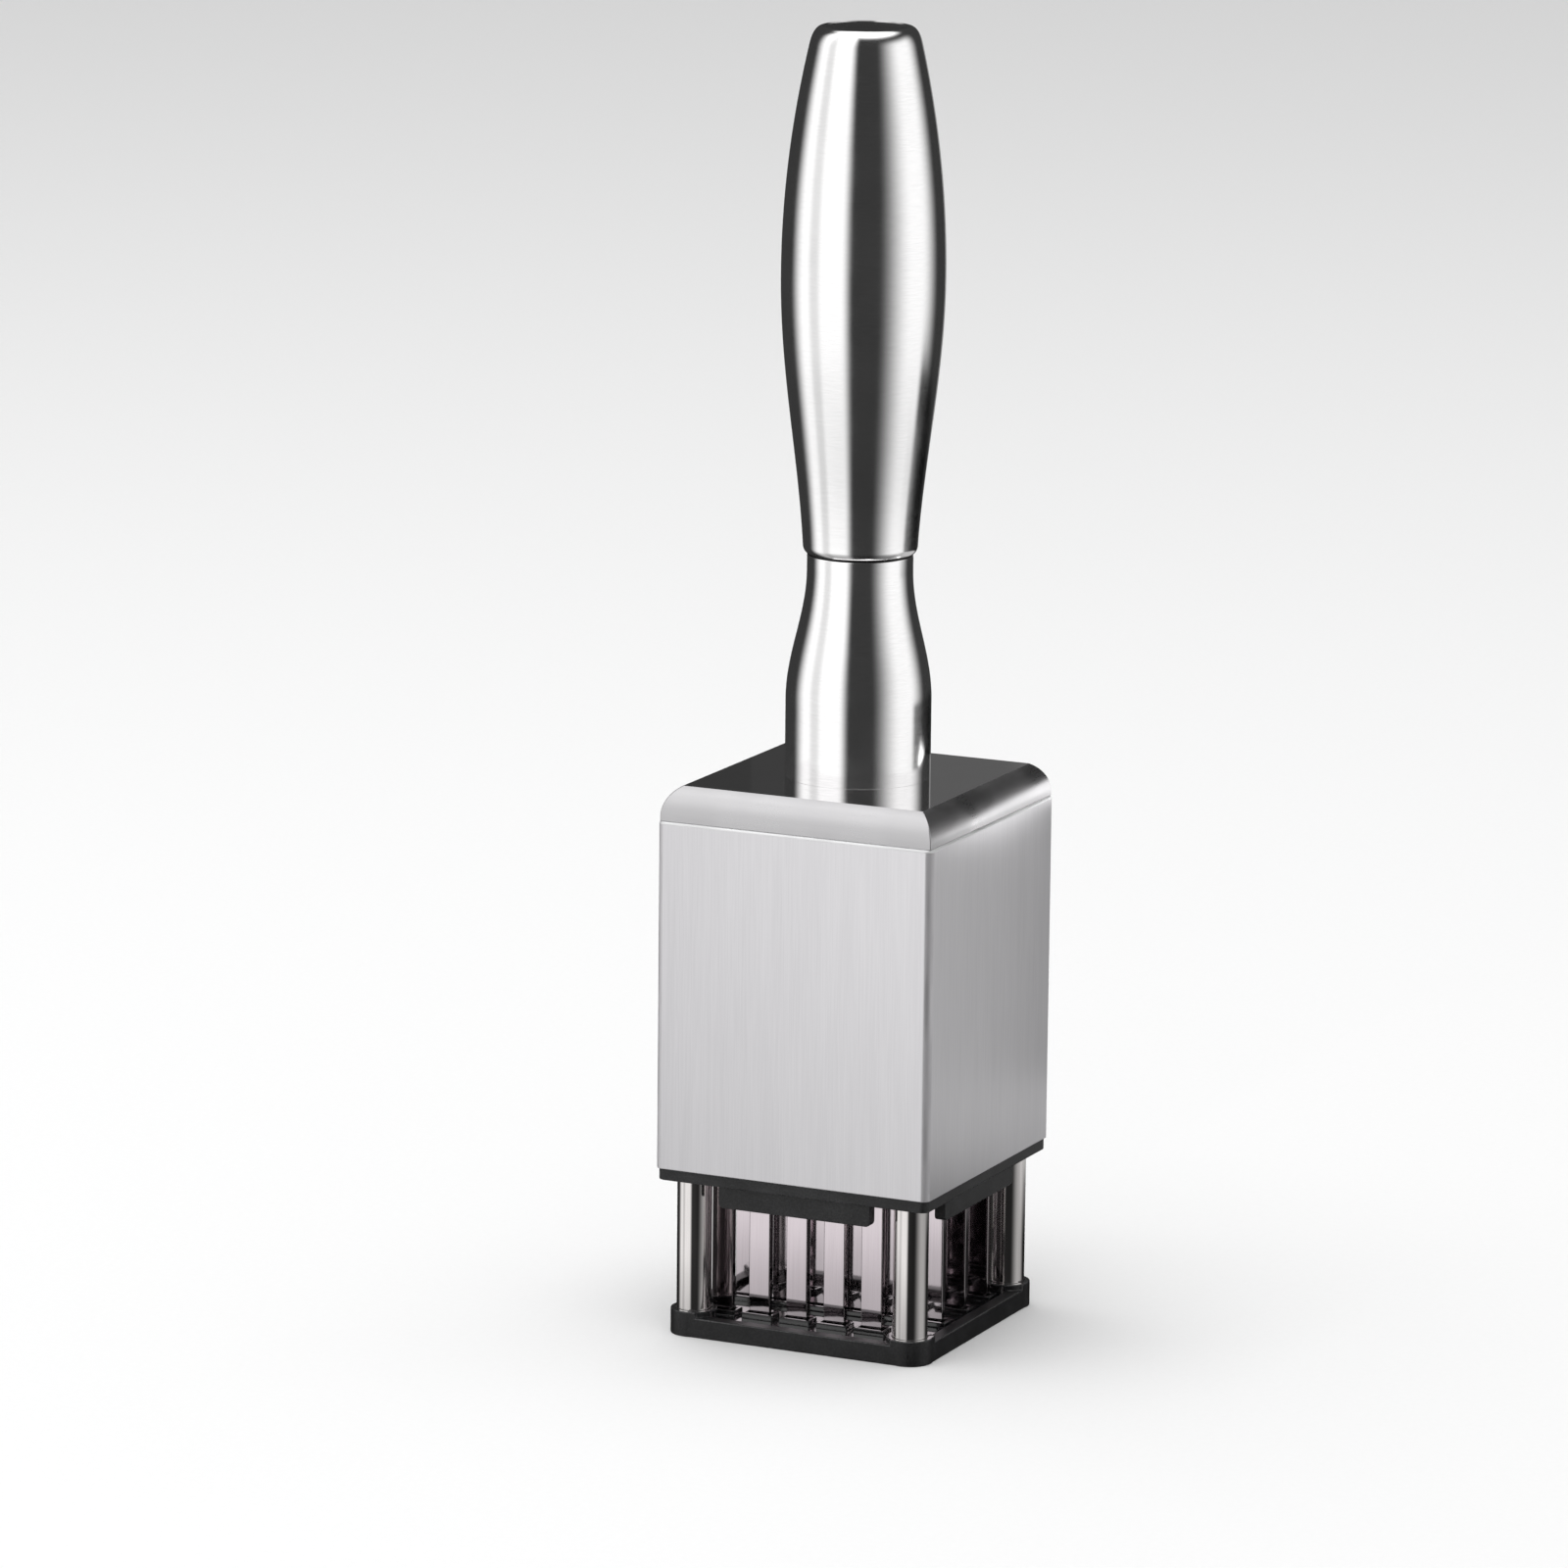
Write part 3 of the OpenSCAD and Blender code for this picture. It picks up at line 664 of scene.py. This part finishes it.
# over the belly the flank draws in to the head
edge_roll = 2.8 * MM
flank = grip_height - edge_roll - belly_height
flank_steps = 48
flank_line = [(belly - (belly - grip_head) * (i / flank_steps) ** 2,
               crease + belly_height + flank * i / flank_steps) for i in range(1, flank_steps + 1)]

# the upper edge rolls round to the disc, in line with the flank where it starts
flank_slope = 2 * (belly - grip_head) / flank * edge_roll / (grip_head - disc_radius)
roll_start = math.asin(flank_slope / (1 - flank_slope))
roll_wide = (grip_head - disc_radius) / math.cos(roll_start)
roll_tall = edge_roll / (1 - math.sin(roll_start))
roll_steps = 16
roll_line = []
for i in range(1, roll_steps + 1):
    turn = roll_start + (math.pi / 2 - roll_start) * i / roll_steps
    roll_line.append((disc_radius + roll_wide * math.cos(turn),
                      grip_high.z - roll_tall * (1 - math.sin(turn))))

# the inner side starts where the curl has room for the wall
curl_room = 4
inner_line = [(r - handle_wall, z) for r, z in reversed(curl_line[curl_room:] + swell_line + flank_line)]
grip_outline = ([(spigot + running_fit, crease)] + curl_line + swell_line + flank_line + roll_line
                + [(disc_radius, disc_low.z)] + inner_line)
grip_shell = turned("grip_shell", grip_outline, handle_steel, around=handle_sides)
# The grip's faces in the crease take the same painted shade.
paint_where(grip_shell, crease_shade_steel, in_crease)
seat(grip_shell, "handle_grip")

# End disc: a flat polished steel disc with a small round at its edge. It is pressed in the
# top of the grip and closes it.

disc_fit = 0.03 * MM
disc_round = 0.12 * MM
disc_sides = 96
disc_outer = disc_radius - disc_fit
disc_outline = [(0, disc_low.z), (disc_outer, disc_low.z), (disc_outer, disc_high.z - disc_round),
                (disc_outer - disc_round, disc_high.z), (0, disc_high.z)]
disc_steel = polished_steel("polished disc steel", tone=(0.55, 0.55, 0.555), roughness=0.12,
                            line=0.2 * MM, stretch=(1, 1, 1), depth=0.001 * MM)
disc = turned("end_disc_plate", disc_outline, disc_steel, around=disc_sides, closed=False)
seat(disc, "end_disc")

# Floor: a wide pale sheet that the tool stands on. Reflections see a round of their own in
# its place, clear to the light on the left and darker close by on the right.


def flat_sheet(name, corners, paint):
    """A sheet with one face between four corners."""
    mesh = bpy.data.meshes.new(name)
    mesh.from_pydata(corners, [], [(0, 1, 2, 3)])
    piece = bpy.data.objects.new(name, mesh)
    bpy.context.scene.collection.objects.link(piece)
    piece.data.materials.append(paint)
    return piece


floor_half = 6.0
floor_corners = [(x * floor_half, y * floor_half, 0) for x, y in ((-1, -1), (1, -1), (1, 1), (-1, 1))]
floor_paint, paper, paper_inputs = material("pale paper", base=(0.88, 0.88, 0.88), roughness=0.9)
fibre = paper.grain(1.2 * MM, detail=3)
finish_with(paper, paper_inputs, shade((0.87, 0.87, 0.87), (0.9, 0.9, 0.9), fibre),
            roughness=0.85 + fibre * 0.1, height=fibre, depth=0.01 * MM)
floor = flat_sheet("floor", floor_corners, floor_paint)
floor.visible_glossy = False

BLACK = (0, 0, 0)
WHITE = (1, 1, 1)


def lit_paint(name, strength=1.0):
    """A material that mirrors nothing and gives off light."""
    return material(name, base=BLACK, roughness=1.0, Specular_IOR_Level=0, Emission_Strength=strength)


def light_up(use, inputs, light, density=None):
    """Links how brightly a surface shines, from black to white, and how dense it is."""
    use.tree.links.new(shade(BLACK, WHITE, light).link, inputs["Emission Color"])
    if density:
        use.tree.links.new(density.link, inputs["Alpha"])


def only_mirrored(piece):
    """A piece of the studio that shows in reflections alone, and casts no light or shadow."""
    piece.visible_camera = False
    piece.visible_diffuse = False
    piece.visible_shadow = False


in_degrees = 180 / math.pi


def bearing_of(x, y):
    """Degrees round from the front to the right."""
    return x.math("ARCTAN2", x, 0 - y) * in_degrees


# The round is black where it is dense, and the steel mirrors the sky through it where it is
# clear. Behind the tool it has a lit patch of its own, and beyond that a dark one.
table_outer = 680 * MM
table_lift = 0.1 * MM
table_sides = 96
patch_light = 0.58
corner_density = 0.97
table_mesh = bmesh.new()
table_rings = [ring_of(table_mesh, radius, table_lift, table_sides, (0, 0)) for radius in (0, table_outer)]
table_paint, table, table_inputs = lit_paint("lit table")
table_x, table_y = table.place("X"), table.place("Y")
away = table.math("SQRT", table_x * table_x + table_y * table_y)
across = bearing_of(table_x, table_y)
on_left = across.between(0, 40, 1, 0)
left_clear = away.between(35 * MM, 90 * MM, 0.5, 0.77) + away.between(120 * MM, 400 * MM, 0, 0.23)
right_clear = away.between(100 * MM, 420 * MM, 0.38, 1.0)
behind = across.between(100, 135) * away.within(70 * MM, 140 * MM, 400 * MM, 450 * MM)
dim_corner = across.between(116, 128) * away.within(420 * MM, 470 * MM, 600 * MM, 680 * MM)
dimmed = (1 - on_left * left_clear - (1 - on_left) * right_clear).larger(dim_corner * corner_density)
light_up(table, table_inputs, light=behind * patch_light, density=dimmed.larger(behind))
only_mirrored(skinned("lit_table", table_rings, table_mesh, table_paint))

# Cards: three lit cards behind the tool that only the steel mirrors. The side card lightens
# the casing's right side, the shoulder card the cap's right shoulder over it, and the back
# card the right end of the cap's top.


def bounce_card(name, bearing, distance, span, heights, lit, strength=1.0):
    """A card across a bearing from the middle. Lit gives its light and density along it and up."""
    turn = math.radians(bearing)
    middle = Vector((math.sin(turn), -math.cos(turn), 0)) * distance
    along = Vector((-math.cos(turn), -math.sin(turn), 0))
    (start, end), (bottom, top) = span, heights
    corners = [middle + along * s + Vector((0, 0, z))
               for s, z in ((start, bottom), (end, bottom), (end, top), (start, top))]
    paint, use, inputs = lit_paint(name, strength)
    light_up(use, inputs, *lit(use.place("X") * along.x + use.place("Y") * along.y, use.place("Z")))
    only_mirrored(flat_sheet(name, corners, paint))


def side_light(along, height):
    """Dimmer towards the far end."""
    return along.between(-6 * MM, 22 * MM, 0.42, 0.54), None


def shoulder_light(along, height):
    """Bright and high beside the far corner, dimmer and lower towards the near one."""
    foot = along.between(28 * MM, 52 * MM, 86 * MM, 75 * MM)
    top = along.between(36 * MM, 52 * MM, 94.8 * MM, 88 * MM)
    level = along.between(27 * MM, 38 * MM, 0.6, 0.8) * along.between(42 * MM, 52 * MM, 1, 0.7)
    return 0.18 + height.between(foot, foot + 4 * MM) * level, height.between(top - 2.5 * MM, top, 1, 0)


def back_light(along, height):
    """Dark on the left, and lighter towards the right in two steps."""
    return 0.05 + along.between(-8 * MM, 14 * MM) * 0.06 + along.between(30 * MM, 55 * MM) * 0.2, None


bounce_card("side_card", bearing=145, distance=75 * MM, span=(-60 * MM, 45 * MM),
            heights=(30 * MM, 80 * MM), lit=side_light)
bounce_card("shoulder_card", bearing=180, distance=32 * MM, span=(26 * MM, 54 * MM),
            heights=(78 * MM, 95 * MM), lit=shoulder_light, strength=2.4)
bounce_card("back_card", bearing=-155, distance=250 * MM, span=(-20 * MM, 105 * MM),
            heights=(100 * MM, 222 * MM), lit=back_light)

# Sky: the soft boxes that the steel mirrors, in a tent of even light. Bearings are degrees
# round from the front to the right. The camera itself sees a plain white backdrop.

world = bpy.data.worlds.new("soft studio")
world.use_nodes = True
bpy.context.scene.world = world
world.node_tree.nodes.clear()
sky = Socket(world.node_tree)
way = sky.add("ShaderNodeTexCoord", out="Generated")
way_x, way_y, way_z = (sky.add("ShaderNodeSeparateXYZ", values={0: way}, out=axis) for axis in "XYZ")
bearing = bearing_of(way_x, way_y)
rise = way_z.math("ARCSINE", way_z) * in_degrees
unlit = 0.042
ceiling_light = 1.65
tent_light = 0.62
backdrop_light = 0.95
left_dip = bearing.within(-62, -52, -46, -36) * 0.28
left_box = (bearing.within(-97, -68, -7, 10) * (1 - left_dip)
            * rise.between(-40, -12, 0.6, 1.17) * rise.between(10, 60, 1, 1.5))
right_box = bearing.within(45, 97, 114, 152) * rise.between(-40, -12, 0.5, 1.08) * rise.between(20, 40, 1, 0)
ceiling = rise.between(44, 62) * ceiling_light


def background(light):
    """A sky of one grey level, or of a level that varies."""
    colour = light if isinstance(light, Socket) else (light, light, light, 1)
    return sky.add("ShaderNodeBackground", values={"Color": colour, "Strength": 1.0})


boxes = background(unlit + left_box.larger(right_box).larger(ceiling))
tent = background(tent_light)
backdrop = background(backdrop_light)
mirrored = sky.add("ShaderNodeLightPath", out="Is Glossy Ray")
seen = sky.add("ShaderNodeLightPath", out="Is Camera Ray")
lighting = sky.add("ShaderNodeMixShader", values={0: mirrored, 1: tent, 2: boxes})
both = sky.add("ShaderNodeMixShader", values={0: seen, 1: lighting, 2: backdrop})
sky.add("ShaderNodeOutputWorld", values={"Surface": both})

# Lamp: one broad soft panel overhead, a little to the left and the front. It lights the floor
# and the black mouldings, and the steel doesn't mirror it.

panel_side = 1.6
panel_watts = 22
panel_place = (-0.2, -0.2, 1.8)
panel = bpy.data.lights.new("overhead panel", "AREA")
panel.shape = "RECTANGLE"
panel.size = panel_side
panel.size_y = panel_side
panel.energy = panel_watts
overhead = bpy.data.objects.new("overhead_panel", panel)
overhead.location = panel_place
overhead.visible_glossy = False
bpy.context.scene.collection.objects.link(overhead)

# Camera: at the photograph's angle, 25 degrees round to the right of the front and 12 up,
# and aimed a little left of the tool's axis.

azimuth = math.radians(25.2)
elevation = math.radians(11.97)
roll = math.radians(-0.58)
camera_distance = 1.4138
aim_height = 93.9 * MM
aim_left = 12.5 * MM
side = Vector((math.cos(azimuth), math.sin(azimuth), 0))
backward = Vector((math.sin(azimuth) * math.cos(elevation), -math.cos(azimuth) * math.cos(elevation),
                   math.sin(elevation)))
up = backward.cross(side)
camera_right = side * math.cos(roll) - up * math.sin(roll)
camera_up = side * math.sin(roll) + up * math.cos(roll)
lens = bpy.data.cameras.new("camera")
lens.lens = 190.8
lens.sensor_width = 36
lens.clip_start = 0.05
lens.clip_end = 50
camera = bpy.data.objects.new("camera", lens)
spot = Vector((0, 0, aim_height)) - side * aim_left + backward * camera_distance
turned_to = Matrix((camera_right, camera_up, backward)).transposed().to_4x4()
camera.matrix_world = Matrix.Translation(spot) @ turned_to
bpy.context.scene.collection.objects.link(camera)
bpy.context.scene.camera = camera
bpy.context.scene.view_settings.view_transform = "Standard"
